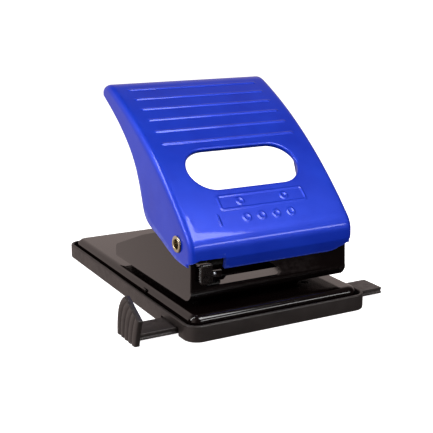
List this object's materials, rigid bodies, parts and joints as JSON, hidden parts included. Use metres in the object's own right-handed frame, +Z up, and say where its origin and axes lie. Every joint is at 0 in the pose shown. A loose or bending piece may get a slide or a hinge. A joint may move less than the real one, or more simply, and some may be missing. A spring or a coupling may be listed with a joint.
{
  "type": "hole punch",
  "caption": "Desk paper hole punch: arched sheet-steel lever with an oblong window, pressed steel frame and base plate, plastic chip tray and sliding paper rail.",
  "frame": {"origin": "middle of the chip tray's underside, on the surface the punch stands on", "axes": "+X to the right along the hinge line, +Y from the paper mouth to the back, +Z up"},
  "size_m": [0.175, 0.1966, 0.1313],
  "materials": {
    "blue_paint": "gloss stoved enamel on sheet steel",
    "black_paint": "high gloss black stoved enamel on pressed steel",
    "black_plastic": "fine matt moulded plastic",
    "zinc_steel": "bright zinc plate",
    "spring_steel": "drawn wire and stamped spring steel",
    "tool_steel": "ground hardened steel",
    "nickel": "warm bright nickel plate"
  },
  "bodies": {
    "tray": {"chip_tray": "black_plastic"},
    "rail": {"paper_rail": "black_plastic"},
    "punch": {"base_plate": "black_paint", "spacer_plate": "black_paint", "frame": "black_paint", "guide_bracket": "black_paint", "frame_rivet_1": "zinc_steel", "frame_rivet_2": "zinc_steel", "frame_rivet_3": "zinc_steel", "frame_rivet_4": "zinc_steel", "die_left": "tool_steel", "die_right": "tool_steel", "guide_bush_left": "tool_steel", "guide_bush_right": "tool_steel", "pin_spring_left": "spring_steel", "pin_spring_right": "spring_steel"},
    "lever": {"handle": "blue_paint", "pressure_bar": "black_paint", "pivot_eyelet_left": "nickel", "pivot_eyelet_right": "nickel"},
    "left_pin": {"punch_pin_left": "tool_steel", "pin_clip_left": "spring_steel"},
    "right_pin": {"punch_pin_right": "tool_steel", "pin_clip_right": "spring_steel"},
    "lock": {"lock_slider": "black_paint", "lock_knob": "black_plastic", "lock_rivet": "nickel"}
  },
  "joints": [
    {"name": "tray_release", "type": "slide", "parent": "tray", "child": "punch", "axis": [0, 0, 1], "range_m": [0, 0.02]},
    {"name": "rail_slide", "type": "slide", "parent": "tray", "child": "rail", "axis": [1, 0, 0], "range_m": [-0.0619, 0.0245]},
    {"name": "lever_hinge", "type": "hinge", "parent": "punch", "child": "lever", "pos_m": [0, -0.072, 0.051], "axis": [-1, 0, 0], "range_deg": [0, 42], "stiffness_Nm_per_rad": 1, "springref_deg": -22.92},
    {"name": "left_pin_slide", "type": "slide", "parent": "punch", "child": "left_pin", "axis": [0, 0, -1], "range_m": [0, 0.009], "deforming": ["pin_spring_left"]},
    {"name": "right_pin_slide", "type": "slide", "parent": "punch", "child": "right_pin", "axis": [0, 0, -1], "range_m": [0, 0.009], "deforming": ["pin_spring_right"]},
    {"name": "lock_slide", "type": "slide", "parent": "punch", "child": "lock", "axis": [1, 0, 0], "range_m": [0, 0.004]}
  ],
  "couplings": [
    {"joint": "left_pin_slide", "follows": "lever_hinge", "m_per_rad": 0.01214},
    {"joint": "right_pin_slide", "follows": "lever_hinge", "m_per_rad": 0.01214}
  ]
}
